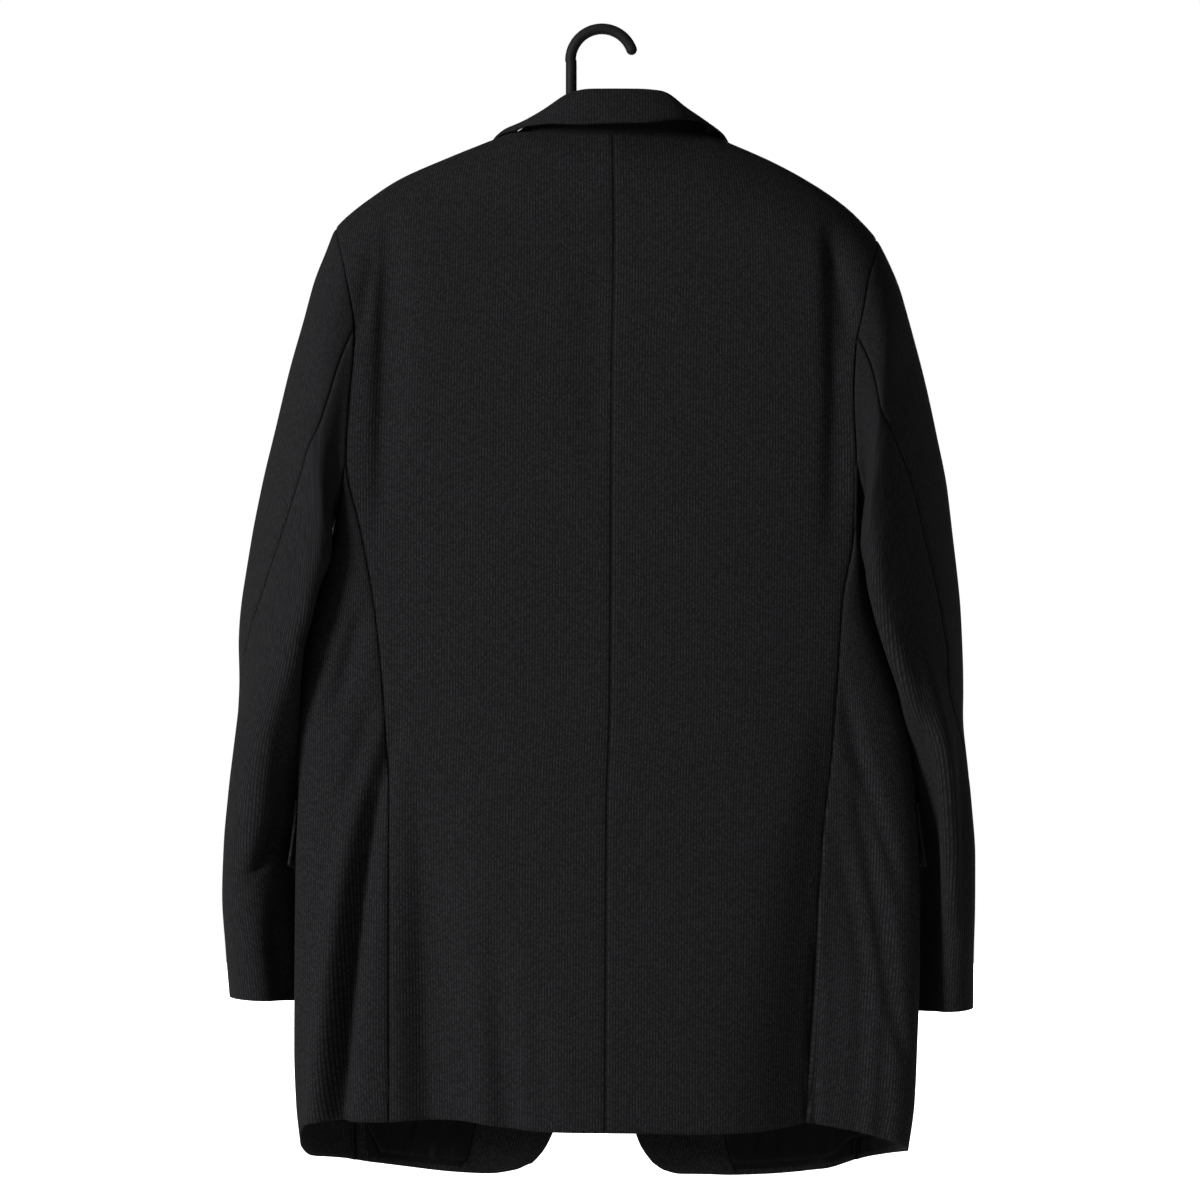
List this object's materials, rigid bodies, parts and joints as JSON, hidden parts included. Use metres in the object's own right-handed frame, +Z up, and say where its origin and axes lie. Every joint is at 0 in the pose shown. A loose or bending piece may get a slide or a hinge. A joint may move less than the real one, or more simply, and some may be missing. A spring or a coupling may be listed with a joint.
{
  "type": "blazer on a hanger",
  "caption": "Dark tailored blazer with notch lapels, centre back vent and flap pockets, buttoned and hanging on a plain moulded hanger.",
  "frame": {"origin": "underside of the hanger hook's crown, where a rail touches it", "axes": "+Z up; the back of the jacket faces +Y and its fronts face -Y; the wearer's left is +X"},
  "size_m": [0.6206, 0.1829, 0.9522],
  "materials": {
    "wool_cloth": "near-black worsted wool with a fine broken self stripe",
    "collar_felt": "black undercollar felt",
    "lining_satin": "black satin lining",
    "horn_button": "black horn-like button",
    "hanger_plastic": "black moulded plastic, satin"
  },
  "bodies": {
    "root": {"back_left": "wool_cloth", "back_right": "wool_cloth", "front_left": "wool_cloth", "front_right": "wool_cloth", "side_left": "wool_cloth", "side_right": "wool_cloth", "sleeve_top_left": "wool_cloth", "sleeve_top_right": "wool_cloth", "sleeve_under_left": "wool_cloth", "sleeve_under_right": "wool_cloth", "lapel_left": "wool_cloth", "lapel_right": "wool_cloth", "facing_left": "wool_cloth", "facing_right": "wool_cloth", "lining_front_left": "lining_satin", "lining_front_right": "lining_satin", "vent_underlap": "wool_cloth", "flap_left": "wool_cloth", "flap_right": "wool_cloth", "top_collar": "wool_cloth", "undercollar": "collar_felt", "button_1": "horn_button", "button_2": "horn_button", "hanger_hook": "hanger_plastic", "hanger_arms": "hanger_plastic"}
  },
  "joints": []
}
